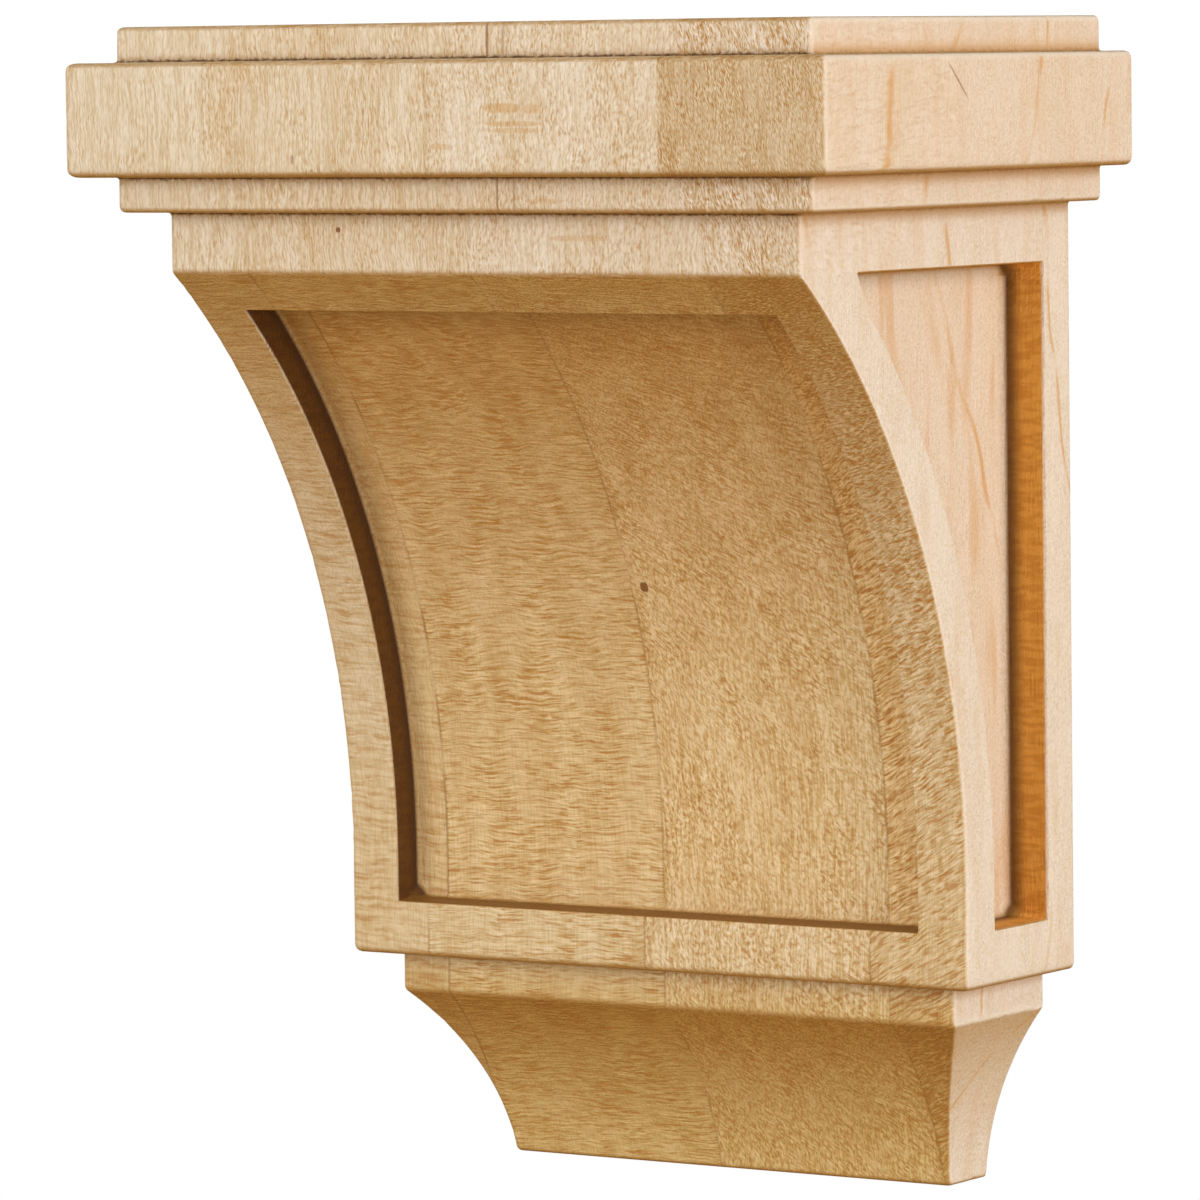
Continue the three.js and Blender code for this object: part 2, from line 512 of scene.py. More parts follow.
    def side_columns(self, rows: Rows) -> tuple[np.ndarray, np.ndarray]:
        """Places the columns of a side, from the wall forward, crowded along both edges of its panel.

        Args:
            rows: the outline's rows.

        Returns:
            The reach of each column on each row, and its distance inside the panel's upright edges.
        """
        edge, cosine, scale = self.side_edge(rows)
        back = self.back_stile * scale
        near = self.near_edge[None, :]
        back_zone = self.back_places[None, :] * scale[:, None]
        back_edge = back[:, None] + near * scale[:, None]
        front_edge = edge[:, None] - near[:, ::-1] * (scale / cosine)[:, None]
        floor_mix = np.linspace(0.0, 1.0, self.side_floor_steps + 1)[None, 1:-1]
        floor_zone = back_edge[:, -1:] * (1 - floor_mix) + front_edge[:, :1] * floor_mix
        front_mix = np.linspace(0.0, 1.0, self.stile_steps + 1)[None, 1:]
        front_stop = (rows.reach - self.upright_ease)[:, None]
        front_zone = front_edge[:, -1:] * (1 - front_mix) + front_stop * front_mix
        reach = np.hstack([back_zone, back_edge, floor_zone, front_edge, front_zone])
        inside = np.minimum(reach - back[:, None], (edge[:, None] - reach) * cosine[:, None])
        return reach, inside

    def front_columns(self) -> tuple[np.ndarray, np.ndarray]:
        """Places the front's columns from right to left, crowded along the panel's two upright edges.

        Returns:
            Each column's distance from the middle on the body, and its distance inside the panel's edges.
        """
        opening = self.body_half - self.frame_width
        edge = opening - self.near_edge
        stile = np.linspace(self.body_half - self.upright_ease, edge[0], self.stile_steps + 1)[:-1]
        floor = np.linspace(edge[-1], 0.0, self.front_floor_steps + 1)[1:]
        right = np.concatenate([stile, edge, floor])
        across = np.concatenate([right, -right[-2::-1]])
        return across, opening - np.abs(across)

    def surface(self) -> tuple[np.ndarray, dict[str, np.ndarray]]:
        """Works out the whole skin: right side, eased corner, front, eased corner and left side.

        On a side, a point is (half width less the panel's depth, -reach, height). On the front it is
        (place across, -reach, height) moved into the wood, square to the outline, by the panel's depth.

        Returns:
            The grid of points, and for each point its masks and distances.
        """
        rows = self.rows()
        level = (self.height / 2 - rows.drop)[:, None]
        half = rows.half[:, None]
        reach = rows.reach[:, None]
        ease = self.upright_ease

        side_reach, side_inside = self.side_columns(rows)
        side_row = np.minimum(rows.drop - self.frieze_drop, self.panel_drop - rows.drop)[:, None]
        side_depth = self.pocket(side_inside, side_row, self.side_sink)
        back_round = self.back_ease * np.clip(1.0 - side_reach / self.back_ease, 0.0, 1.0) ** 2
        side_x = half - side_depth - back_round

        turned = np.linspace(0.0, 1.0, self.ease_steps + 1)[None, 1:-1]
        arc = turned * math.pi / 2
        corner_x = half - ease + ease * np.cos(arc)
        corner_reach = reach - ease + ease * np.sin(arc)

        across, front_inside = self.front_columns()
        lift = np.clip((self.hollow_drop - rows.drop) / self.hollow_radius, 0.0, math.sin(self.hollow_turn))
        hollow_along = self.hollow_radius * (self.hollow_turn - np.arcsin(lift))
        top_inside = np.where(rows.drop < self.frieze_drop, -FAR, hollow_along - self.front_top_rail)
        front_row = np.minimum(top_inside, self.panel_drop - rows.drop)[:, None]
        front_depth = self.pocket(front_inside[None, :], front_row, self.front_sink)
        front_x = across[None, :] * (half - ease) / (self.body_half - ease)
        front_reach = reach + front_depth * rows.inward_reach[:, None]
        front_level = level - front_depth * rows.inward_drop[:, None]

        def spread(block: np.ndarray, width: int) -> np.ndarray:
            """Repeats row values or column values over a whole block."""
            return np.broadcast_to(block, (len(rows.drop), width))

        x = np.hstack([side_x, corner_x, front_x, -corner_x[:, ::-1], -side_x[:, ::-1]])
        y = -np.hstack([side_reach, corner_reach, front_reach, corner_reach[:, ::-1], side_reach[:, ::-1]])
        side_level = spread(level, side_x.shape[1])
        corner_level = spread(level, corner_x.shape[1])
        z = np.hstack([side_level, corner_level, front_level, corner_level, side_level])
        points = np.stack([x, y, z], axis=-1)

        away = np.full_like(corner_x, -FAR)
        side_edge = np.minimum(side_inside, side_row)
        front_edge = np.minimum(np.broadcast_to(front_inside, front_depth.shape), front_row)
        inside = np.hstack([side_edge, away, front_edge, away, side_edge[:, ::-1]])
        side_sunk = side_depth / self.side_sink
        front_sunk = front_depth / self.front_sink
        unsunk = np.zeros_like(corner_x)
        sunk = np.hstack([side_sunk, unsunk, front_sunk, unsunk, side_sunk[:, ::-1]])
        turned = spread(turned, turned.shape[1])
        whole = np.ones_like(side_x)
        is_side = np.hstack([whole, 1.0 - turned, np.zeros_like(front_x), turned, whole])
        upright = np.minimum(np.abs(half - np.abs(x)) + np.abs(reach + y), FAR)
        upright = np.where(np.abs(rows.inward_drop)[:, None] > self.level_row, FAR, upright)
        brow = np.where(is_side > 0.5, FAR, rows.brow[:, None])
        arris = np.minimum(np.minimum(rows.arris[:, None], brow), upright)
        nook = np.broadcast_to(rows.nook[:, None], x.shape)
        masks = {"inside": inside, "sunk": sunk, "side": is_side, "arris": arris, "nook": nook}
        return points, masks

    def build(self) -> bpy.types.Object:
        """Makes the corbel's mesh from its grid, with flat back, top and underside, and its masks.

        Returns:
            The finished object, at the origin.
        """
        points, masks = self.surface()
        points = self.worn(points, masks)
        count_rows, count_columns = points.shape[:2]
        index = np.arange(count_rows * count_columns).reshape(count_rows, count_columns)
        corners = [index[:-1, :-1], index[:-1, 1:], index[1:, 1:], index[1:, :-1]]
        quads = np.stack(corners, axis=-1).reshape(-1, 4)
        back = np.concatenate([index[:, 0], index[::-1, -1]])
        caps = [index[0, ::-1], index[-1], back]
        mesh = bpy.data.meshes.new("corbel_surface")
        faces = quads.tolist() + [cap.tolist() for cap in caps]
        mesh.from_pydata((points.reshape(-1, 3) * MM).tolist(), [], faces)
        smooth = np.ones(len(mesh.polygons), dtype=bool)
        smooth[-len(caps) :] = False
        mesh.polygons.foreach_set("use_smooth", smooth)
        masks |= self.facing(points, masks)
        plain = {"inside": (-FAR,) * 3, "arris": (FAR,) * 3, "nook": (FAR,) * 3}
        plain |= {"up": (1.0, 0.0, 0.0), "down": (0.0, self.underside_shade, 0.0)}
        corner_points = np.empty(len(mesh.loops), dtype=np.int32)
        mesh.loops.foreach_get("vertex_index", corner_points)
        for name, values in masks.items():
            at_corners = np.asarray(values, dtype=np.float32).ravel()[corner_points]
            at_caps = plain.get(name, (0.0,) * 3)
            at_corners[quads.size :] = np.repeat(at_caps, [len(cap) for cap in caps])
            layer = mesh.attributes.new(name, "FLOAT", "CORNER")
            layer.data.foreach_set("value", at_corners)
        mesh.validate()
        mesh.update()
        piece = bpy.data.objects.new("corbel_wood", mesh)
        bpy.context.scene.collection.objects.link(piece)
        return piece

    def facing(self, points: np.ndarray, masks: dict[str, np.ndarray]) -> dict[str, np.ndarray]:
        """Works out which way the skin faces from its grid's two directions.

        Args:
            points: the grid of points.
            masks: how far each point belongs to a side, and how deep it lies in a panel.

        Returns:
            How far each point faces up and down, and how far it belongs to a side. Level ledges belong to
            none, and the walls of a side's panel do.
        """
        normal = np.cross(np.gradient(points, axis=1), np.gradient(points, axis=0))
        normal /= np.maximum(np.linalg.norm(normal, axis=-1, keepdims=True), TINY)
        tilt = normal[..., 2]
        start, full = self.ledge_tilt
        level = np.clip((np.abs(tilt) - start) / (full - start), 0.0, 1.0)
        level = np.where(masks["sunk"] > self.open_face, 0.0, level)
        underside = points[..., 2] < -self.height / 2 + self.foot_skin
        # the flat underside takes only a share of the painted shade of faces that look down
        down = np.where(underside, self.underside_shade, np.clip(-tilt, 0.0, 1.0))
        return {"up": np.clip(tilt, 0.0, 1.0), "down": down, "side": masks["side"] * (1.0 - level)}

    def worn(self, points: np.ndarray, masks: dict[str, np.ndarray]) -> np.ndarray:
        """Takes the machine's evenness off: chips along the outer edges, and torn grain in inner corners.

        Args:
            points: the grid of points.
            masks: each point's distances from edges and corners.

        Returns:
            The moved points, none of them outside the first ones' box.
        """
        centre = np.array([0.0, -self.rail_reach / 2, 0.0])
        inward = (centre - points) * np.array([1.0, 1.0, 0.0])
        inward /= np.maximum(np.linalg.norm(inward, axis=-1, keepdims=True), TINY)
        depth = self.chips.gone(points, masks["arris"]) + self.tears.gone(points, masks["nook"])
        off_wall = np.clip(-points[..., 1] / self.bare_wall, 0.0, 1.0)
        return points + inward * (depth * off_wall)[..., None]

    def dress(self, piece: bpy.types.Object, finish: "Maple") -> None:
        """Gives the piece its wood, and ties it to the solid that it stands for.

        Args:
            piece: the corbel's object.
            finish: its wood.
        """
        piece.data.materials.append(finish.material())
        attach(piece, "root")
        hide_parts("corbel")


class Graph:
    """Writes shader nodes: each method adds its nodes and gives back their output.

    A value is either another node's output or a plain number or colour.
    """

    def __init__(self, tree: bpy.types.NodeTree) -> None:
        """Keeps the tree that the nodes go into."""
        self.tree = tree

    def node(self, kind: str, **settings: object) -> bpy.types.Node:
        """Adds a node.

        Args:
            kind: Blender's name for the node.
            **settings: its options.

        Returns:
            The node.
        """
        made = self.tree.nodes.new(kind)
        for name, value in settings.items():
            setattr(made, name, value)
        return made

    def feed(self, socket: Socket, value: object) -> None:
        """Links an output to a socket, or sets the socket's plain value.

        Args:
            socket: the input.
            value: what goes into it.
        """
        if isinstance(value, Socket):
            self.tree.links.new(value, socket)
        else:
            socket.default_value = value

    def fed(self, kind: str, *values: object, **settings: object) -> bpy.types.Node:
        """Adds a node and feeds its first inputs.

        Args:
            kind: Blender's name for the node.
            *values: what goes into its inputs, in order.
            **settings: its options.

        Returns:
            The node.
        """
        made = self.node(kind, **settings)
        for socket, value in zip(made.inputs, values):
            self.feed(socket, value)
        return made

    def math(self, operation: str, *values: object, clamp: bool = False) -> Socket:
        """Adds a Math node on one, two or three values."""
        return self.fed("ShaderNodeMath", *values, operation=operation, use_clamp=clamp).outputs[0]

    def product(self, *shares: object) -> Socket:
        """Multiplies shares together."""
        return reduce(partial(self.math, "MULTIPLY"), shares)

    def strongest(self, *shares: object) -> Socket:
        """Takes the greatest of several shares."""
        return reduce(partial(self.math, "MAXIMUM"), shares)

    def length(self, x: Socket, y: Socket) -> Socket:
        """The length of a line from its two parts: the root of the sum of their squares."""
        return self.math("SQRT", self.math("MULTIPLY_ADD", x, x, self.math("MULTIPLY", y, y)))

    def ramp(self, value: object, low: float, high: float, start: float = 0.0, end: float = 1.0) -> Socket:
        """Maps a value smoothly from the range low to high onto start to end."""
        ends = (value, low, high, start, end)
        return self.fed("ShaderNodeMapRange", *ends, interpolation_type="SMOOTHSTEP").outputs[0]

    def mix(self, share: object, first: object, second: object, blend: str = "MIX") -> Socket:
        """Mixes two colours by a share.

        Args:
            share: how much of the second shows.
            first, second: the colours, which are the node's sockets A_Color and B_Color.
            blend: how the second goes over the first.

        Returns:
            The mixed colour.
        """
        made = self.node("ShaderNodeMix", data_type="RGBA", blend_type=blend)
        ports = {socket.identifier: socket for socket in made.inputs}
        self.feed(ports["Factor_Float"], share)
        self.feed(ports["A_Color"], first)
        self.feed(ports["B_Color"], second)
        return {socket.identifier: socket for socket in made.outputs}["Result_Color"]

    def choose(self, share: Socket, first: Socket, second: Socket) -> Socket:
        """Mixes two shaders by a share."""
        return self.fed("ShaderNodeMixShader", share, first, second).outputs[0]

    def point(self, x: object, y: object, z: object) -> Socket:
        """Joins three values into a vector."""
        return self.fed("ShaderNodeCombineXYZ", x, y, z).outputs[0]

    def parts(self, vector: Socket) -> tuple[Socket, Socket, Socket]:
        """Splits a vector into its three values."""
        return tuple(self.fed("ShaderNodeSeparateXYZ", vector).outputs)

    def noise(self, vector: Socket, detail: float, rough: float = 0.5) -> Socket:
        """Adds noise of unit size.

        Args:
            vector: where the noise is read.
            detail: how many finer layers it has.
            rough: how strong they are.

        Returns:
            The noise, about 0 to 1.
        """
        made = self.node("ShaderNodeTexNoise")
        settings = {"Vector": vector, "Scale": 1.0, "Detail": detail, "Roughness": rough}
        for name, value in settings.items():
            self.feed(made.inputs[name], value)
        return made.outputs[0]

    def mask(self, name: str) -> Socket:
        """Reads one of the surface's own masks."""
        return self.node("ShaderNodeAttribute", attribute_name=name).outputs["Fac"]


@dataclass(frozen=True)
class Grain:
    """How the wood grew in one board of the blank.

    Attributes:
        heart: where the tree's heart lies, across and from the wall, in millimetres.
        ray: length of a ray along the radius, its thickness along the ring and its height, in millimetres.
        lean: how far the rays lean along the rings for each unit of height.
        dip: how far the rays drop for each unit of radius.
        fleck, streak: strength of the ray fleck and of the fibre streaks on the front.
        tint: the board's colour against the common ground.
        right_heart: a heart further across than this lies to the right of the whole blank, in millimetres.
    """

    right_heart: ClassVar[float] = 100.0
    heart: tuple[float, float]
    ray: tuple[float, float, float]
    lean: float
    dip: float
    fleck: float
    streak: float
    tint: tuple[float, float, float]

    def bend(self, across: float, reach: float) -> float:
        """The rings' radius at a place of the board, given across and from the wall."""
        return math.hypot(self.heart[0] - across, self.heart[1] + reach)

    def facing(self) -> float:
        """The sign by which angles are read about the heart, so that none wraps round inside the board."""
        return -1.0 if self.heart[0] > self.right_heart else 1.0


class Face(Enum):
    """The faces that a single mark can lie on."""

    FRONT = "front"
    SIDE = "right side"


@dataclass(frozen=True)
class Mark:
    """One small mark in the wood: an oval, on a face.

    Attributes:
        face: the face that it shows on.
        centre: its middle, across the face and in height, in millimetres.
        half: half its length across and half its height.
        depth: how strongly it shows.
        slant: how far it leans across for each unit of height.
    """

    face: Face
    centre: tuple[float, float]
    half: tuple[float, float]
    depth: float
    slant: float = 0.0


@dataclass(frozen=True)
class Maple:
    """Bare sanded maple, glued up from four boards with upright grain.

    Attributes:
        glue_planes: where the glue lines stand across the width, in millimetres.
        glue_depths: how strongly each glue line shows.
        cap, body: how the boards grew, from left to right, in the cap and below it.
        middles, middle_reach: where each board's middle lies across and from the wall, in millimetres.
        cap_foot, cap_back: the height and the depth where the cap's figure ends, in millimetres.
        slab: the heights between which the last board's front is darker, in millimetres.
        pale, warm: the light and the warm ground of the cap's front.
        low, foot: the front's colour low down, and on the foot a darker, more golden painted shade as under
            the rail, both against the cap's.
        low_span, foot_span: the heights over which those two colours come in, in millimetres.
        cheek, cap_cheek: the ground of the sides, and the cap's sides against it; cap_cheek also lays
            painted shade on the sunk side panel.
        cap_span: the heights over which the cap's sides come in, in millimetres.
        panel: the ground of the sunk front, darker and more golden than the frame: painted shade of the
            recess.
        golden: the colour of fibres and rays against the ground.
        painted_light: a painted highlight against the ground: paler wood between the rays, as if their
            relief caught the light, and on the last board's sunk strip, against the wall's shade.
        ray, line: the darkest ray fleck, and the ring lines, which also lay painted shade beside the sides'
            inner corners.
        across, under: faces that cut across the grain and look up, against the ground, and painted shade on
            faces that look down.
        gold: the brown along the front's edges, and painted shade in inner corners, on the panels' ledges
            and along their floors' edges.
        glue: the glue lines.
        bar, knot: single broad rays, and knots, checks and stray lines.
        painted_highlight: a painted highlight, the pale line along the sides' outer edges.
        dark: the darkest brown, partly torn grain and partly painted shade in inner corners, and painted
            shade low on the panels' walls.
        front_wall_burnish_and_shade, side_wall_burnish_and_shade: the walls of the sunk panels, partly the
        cutter's burnish and partly painted shade.
        ring_heart, ring_width: heart and spacing of the rings that the sides show, in millimetres.
        ring_bends: heights where the rings start to lean, and by how much of a ring for each millimetre.
        bars, marks: the ray bars of one board, and single knots, lines and checks.
        band, patch, speck: sizes of the broad bands, of the patches that break lines up and of the specks.
        sway, curl, wiggle, drift: sizes of the waves in boards, in fibres, in rays and in ring lines.
        fibre: size of a fibre along the radius, round the ring and in height.
        flame, wall_bar: sizes of the sides' golden flames, and of the bars in the panels' walls.
        relief_strength, relief_depth, fibre_height: the bump's strength, its depth and the fibres' part.
        roughness: the surface's roughness where fibres are low and where they are high.
        specular: how strongly the bare wood mirrors.

    Every size is in millimetres, across, from the wall and in height.
    """

    glue_planes: tuple[float, float, float] = (-47.2, -1.5, 44.3)
    glue_depths: tuple[float, float, float] = (0.6, 0.45, 0.5)
    cap: tuple[Grain, ...] = (
        Grain((-62.0, -330.0), (4.0, 0.36, 1.4), 0.04, 0.0, 0.5, 0.9, (1.0, 1.0, 1.0)),
        Grain((-25.0, -330.0), (4.0, 0.38, 1.3), -0.05, 0.0, 0.6, 1.0, (1.0, 0.99, 0.98)),
        Grain((40.0, -330.0), (4.0, 0.42, 1.0), 0.05, 0.0, 0.65, 0.8, (1.02, 1.02, 1.05)),
        Grain((60.0, -330.0), (4.0, 0.3, 0.9), -0.3, 0.0, 1.3, 1.0, (1.03, 1.04, 1.12)),
    )
    body: tuple[Grain, ...] = (
        Grain((-400.0, -45.0), (8.0, 0.5, 0.7), 0.03, 0.05, 0.6, 0.6, (1.0, 1.0, 1.0)),
        Grain((420.0, -40.0), (4.5, 0.5, 0.36), 0.0, 0.03, 1.0, 0.5, (1.04, 1.05, 1.05)),
        Grain((-120.0, -105.0), (6.0, 0.26, 0.85), -0.1, 0.0, 0.9, 1.4, (1.11, 1.15, 1.25)),
        Grain((260.0, -42.0), (2.6, 0.42, 0.46), 0.06, 0.5, 1.6, 0.6, (0.98, 0.95, 0.9)),
    )
    middles: tuple[float, float, float, float] = (-60.0, -25.0, 20.0, 60.0)
    middle_reach: float = 60.0
    cap_foot: float = 59.4
    cap_back: float = -60.0
    slab: tuple[float, float] = (75.9, 95.5)
    pale: Colour = linear(230, 217, 196)
    warm: Colour = linear(222, 204, 176)
    low: Colour = (0.91, 0.81, 0.62, 1.0)
    foot: Colour = (0.93, 0.86, 0.63, 1.0)
    low_span: tuple[float, float] = (70.0, -70.0)
    foot_span: tuple[float, float] = (-61.0, -72.0)
    cheek: Colour = linear(243, 227, 210)
    cap_cheek: Colour = (0.96, 0.905, 0.845, 1.0)
    cap_span: tuple[float, float] = (66.0, 80.0)
    panel: Colour = linear(220, 191, 141)
    golden: Colour = (0.79, 0.67, 0.45, 1.0)
    painted_light: Colour = (1.16, 1.17, 1.22, 1.0)
    ray: Colour = linear(178, 116, 50)
    line: Colour = linear(218, 162, 94)
    across: Colour = (0.92, 0.82, 0.66, 1.0)
    painted_under_shade: Colour = (0.66, 0.39, 0.05, 1.0)
    gold: Colour = linear(172, 124, 58)
    glue: Colour = linear(146, 100, 42)
    bar: Colour = linear(202, 154, 86)
    knot: Colour = linear(134, 88, 40)
    painted_highlight: Colour = linear(248, 234, 214)
    dark: Colour = linear(74, 43, 11)
    front_wall_burnish_and_shade: Colour = linear(100, 61, 8)
    side_wall_burnish_and_shade: Colour = linear(238, 170, 74)
    ring_heart: tuple[float, float] = (266.0, -115.0)
    ring_width: float = 12.0
    ring_bends: tuple[tuple[float, float], ...] = ((70.0, 0.008), (60.0, -0.014))
    bars: tuple[Mark, ...] = (
        Mark(Face.FRONT, (13.9, 87.3), (3.7, 0.8), 0.8),
        Mark(Face.FRONT, (19.7, 87.1), (1.9, 0.75), 0.7),
        Mark(Face.FRONT, (16.0, 84.7), (5.6, 0.4), 0.75),
        Mark(Face.FRONT, (16.4, 83.6), (5.2, 0.4), 0.6),
        Mark(Face.FRONT, (1.6, 81.0), (2.2, 0.5), 0.5),
        Mark(Face.FRONT, (20.5, 65.5), (6.0, 0.5), 0.5),
        Mark(Face.FRONT, (18.0, 71.8), (4.0, 0.4), 0.5),
    )
    marks: tuple[Mark, ...] = (
        Mark(Face.FRONT, (6.9, 98.5), (0.3, 3.4), 0.7),
        Mark(Face.FRONT, (10.1, 98.5), (0.25, 3.4), 0.45),
        Mark(Face.FRONT, (8.5, 72.8), (0.22, 3.4), 0.55),
        Mark(Face.FRONT, (11.9, 72.8), (0.22, 3.4), 0.45),
        Mark(Face.FRONT, (1.1, 3.7), (0.8, 0.9), 1.0),
        Mark(Face.FRONT, (-28.6, 78.9), (0.35, 0.8), 0.5),
        Mark(Face.FRONT, (-28.3, 66.8), (0.5, 0.45), 0.95),
        Mark(Face.SIDE, (-59.1, 90.9), (0.3, 2.9), 0.6, 1.04),
    )
    band: Size = (5.0, 7.0, 55.0)
    patch: Size = (7.0, 7.0, 11.0)
    speck: Size = (0.8, 0.8, 0.6)
    sway: Size = (45.0, 45.0, 80.0)
    curl: Size = (24.0, 24.0, 6.0)
    wiggle: Size = (2.2, 2.2, 1.7)
    drift: Size = (30.0, 40.0, 44.0)
    fibre: Size = (0.42, 0.42, 7.0)
    flame: Size = (4.5, 4.5, 26.0)
    wall_bar: Size = (5.0, 5.0, 1.3)
    relief_strength: float = 0.6
    relief_depth: float = 0.3
    fibre_height: float = 1.2
    roughness: tuple[float, float] = (0.5, 0.64)
    specular: float = 0.3

    def material(self) -> bpy.types.Material:
        """Builds the wood as a solid that the surface cuts through, and lays edges and marks over it.

        Returns:
            The material.
        """
        made = bpy.data.materials.new("bare_maple")
        made.use_nodes = True
        made.node_tree.nodes.clear()
        wood = WoodGraph(made.node_tree, self)
        colour = wood.edged(wood.marked(wood.ringed(wood.figured(wood.ground()))))
        colour = wood.walled(colour)
        bump = wood.node("ShaderNodeBump")
        bump.inputs["Strength"].default_value = self.relief_strength
        bump.inputs["Distance"].default_value = self.relief_depth * MM
        wood.feed(bump.inputs["Height"], wood.relief())
        shader = wood.node("ShaderNodeBsdfPrincipled")
        wood.feed(shader.inputs["Base Color"], colour)
        wood.feed(shader.inputs["Roughness"], wood.ramp(wood.fibre, 0.2, 0.8, *self.roughness))
        wood.feed(shader.inputs["Normal"], bump.outputs[0])
        shader.inputs["Specular IOR Level"].default_value = self.specular
        wood.feed(wood.node("ShaderNodeOutputMaterial").inputs["Surface"], shader.outputs[0])
        return made


class WoodGraph(Graph):
    """The maple's nodes. Around each board's heart a place has a radius and a distance round the ring.

    Rays are noise long in radius, thin round the ring and short in height, so they show as fleck, dashes
    or specks by how the face cuts them. Fibres are noise drawn out in height. In each ramp the first two
    numbers say from where to where a noise, mask or distance counts, and the last two the shares there.
    """

    def __init__(self, tree: bpy.types.NodeTree, finish: Maple) -> None:
        """Reads the place and the surface's masks, and lays the boards' grain.

        Args:
            tree: the material's tree.
            finish: the wood.
        """
        super().__init__(tree)
        self.finish = finish
        self.boards = finish.body + finish.cap
        place = self.node("ShaderNodeVectorMath", operation="SCALE")
        self.feed(place.inputs[0], self.node("ShaderNodeTexCoord").outputs["Object"])
        place.inputs["Scale"].default_value = 1.0 / MM
        self.place = self.parts(place.outputs[0])
        self.x, self.y, self.z = self.place
        self.side = self.mask("side")
        self.front = self.math("SUBTRACT", 1.0, self.side)
        self.sunk = self.mask("sunk")
        self.up = self.mask("up")
        self.down = self.mask("down")
        ahead = self.math("LESS_THAN", self.y, finish.cap_back)
        upright = self.math("LESS_THAN", self.up, 0.5)
        above = self.math("GREATER_THAN", self.z, finish.cap_foot)
        self.in_cap = self.product(above, ahead, upright)
        self.past = [self.math("GREATER_THAN", self.x, plane) for plane in finish.glue_planes]
        number = self.math("MULTIPLY_ADD", self.in_cap, float(len(finish.body)), 0.5)
        for step in self.past:
            number = self.math("ADD", number, step)
        self.board = self.math("DIVIDE", number, float(len(self.boards)))
        self.broken = self.noise(self.scaled(self.place, finish.patch), 1)
        self.rough = self.noise(self.scaled(self.place, finish.speck), 1)
        self.lay_grain()

    def pick(self, rows: list[tuple[float, ...]]) -> list[Socket]:
        """Picks up to four values by board: a stepped ramp over the board's number, put back to true size.

        Args:
            rows: the values of each board, body first and then cap, from left to right.

        Returns:
            One output for each value.
        """
        table = np.array(rows, dtype=float)
        low = table.min(axis=0)
        span = np.maximum(table.max(axis=0) - low, 1e-6)
        shares = np.ones((len(rows), 4))
        shares[:, : table.shape[1]] = (table - low) / span
        made = self.node("ShaderNodeValToRGB")
        ramp = made.color_ramp
        ramp.interpolation = "CONSTANT"
        ramp.elements.remove(ramp.elements[1])
        for index, share in enumerate(shares):
            stop = ramp.elements[0] if index == 0 else ramp.elements.new(index / len(rows))
            stop.position = index / len(rows)
            stop.color = share.tolist()
        self.feed(made.inputs[0], self.board)
        parts = [*self.parts(made.outputs["Color"]), made.outputs["Alpha"]]
        sized = zip(parts, span.tolist(), low.tolist())
        return [self.math("MULTIPLY_ADD", part, wide, base) for part, wide, base in sized]

    def scaled(self, values: tuple, sizes: tuple) -> Socket:
        """Joins three values, each divided by a size in millimetres."""
        return self.point(*[self.math("DIVIDE", value, size) for value, size in zip(values, sizes)])

    def centred(self, size: Size, detail: float, reach: float) -> Socket:
        """Noise about zero of a size, that swings by a reach in all."""
        noise = self.noise(self.scaled(self.place, size), detail)
        return self.math("MULTIPLY_ADD", noise, reach, -reach / 2)

    def thinned(self, share: Socket, left: float) -> Socket:
        """Keeps a share whole on the front, and leaves a part of it on the sides."""
        return self.product(share, self.ramp(self.side, 0.0, 1.0, 1.0, left))

    def times(self, share: object, colour: object, tint: object) -> Socket:
        """Multiplies a colour by a tint, by a share."""
        return self.mix(share, colour, tint, "MULTIPLY")

    def lay_grain(self) -> None:
        """Works out each place's radius and distance round the ring, then the fibre and ray noise there.

        The distance round the ring is the angle about the heart times the rings' radius at the board's
        middle, and it waves with the curl of the fibres.
        """
        finish = self.finish
        bends = [
            board.bend(middle, finish.middle_reach)
            for board, middle in zip(self.boards, finish.middles * 2)
        ]
        hearts = [(*board.heart, bend, board.facing()) for board, bend in zip(self.boards, bends)]
        heart_x, heart_y, bend, facing = self.pick(hearts)
        sway = self.centred(finish.sway, 0, 6.0)
        out_x = self.math("SUBTRACT", self.math("ADD", sway, self.x), heart_x)
        out_y = self.math("SUBTRACT", self.math("ADD", sway, self.y), heart_y)
        self.radius = self.length(out_x, out_y)
        angle = self.math("ARCTAN2", self.product(out_y, facing), self.product(out_x, facing))
        curl = self.centred(finish.curl, 0, 1.2)
        wiggle = self.centred(finish.wiggle, 1, 0.75)
        self.round = self.math("MULTIPLY_ADD", angle, bend, self.math("ADD", curl, wiggle))
        sizes = self.pick([board.ray for board in self.boards])
        ways = [(board.lean, board.dip, board.fleck, board.streak) for board in self.boards]
        lean, dip, self.fleck, self.streak = self.pick(ways)
        leaning = self.math("MULTIPLY_ADD", self.z, lean, self.round)
        dipped = self.math("MULTIPLY_ADD", self.radius, dip, self.z)
        waved = self.math("MULTIPLY_ADD", wiggle, 0.14, dipped)
        waved = self.math("MULTIPLY_ADD", self.broken, 2.0, waved)
        self.rays = self.noise(self.scaled((self.radius, leaning, waved), sizes), 1, 0.6)
        self.fibre = self.noise(self.scaled((self.radius, self.round, self.z), finish.fibre), 1, 0.6)

